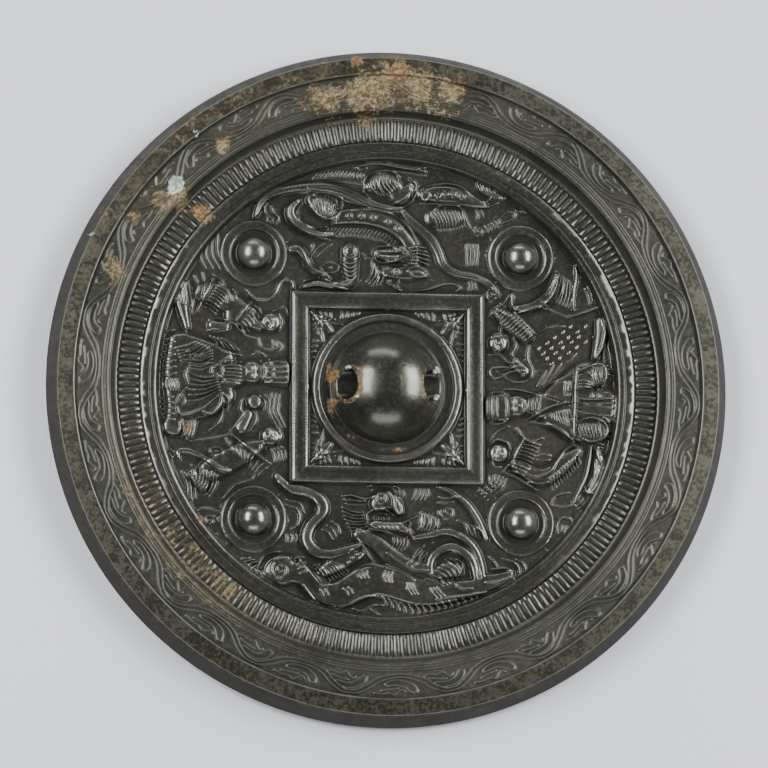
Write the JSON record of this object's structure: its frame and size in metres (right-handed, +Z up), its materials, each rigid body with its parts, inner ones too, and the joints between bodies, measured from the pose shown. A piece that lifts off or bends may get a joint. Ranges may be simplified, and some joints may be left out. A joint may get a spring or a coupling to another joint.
{
  "type": "ancient bronze mirror",
  "caption": "Round cast bronze mirror lying on its polished face, its back with a pierced knob, square frame, bosses, figures in relief, a comb band and a scrolled rim.",
  "frame": {"origin": "middle of the polished face, where the mirror rests; it is the bottom centre of the box", "axes": "+Z up through the knob, +X to the picture's right along the knob's cord hole, +Y to the picture's top, the tiger's side of the square"},
  "size_m": [0.21, 0.21, 0.0174],
  "materials": {
    "patinated_bronze": "dark olive-brown patinated bronze, softly glossy, with rust and malachite crust"
  },
  "bodies": {
    "root": {"cast_mirror": "patinated_bronze"}
  },
  "joints": []
}
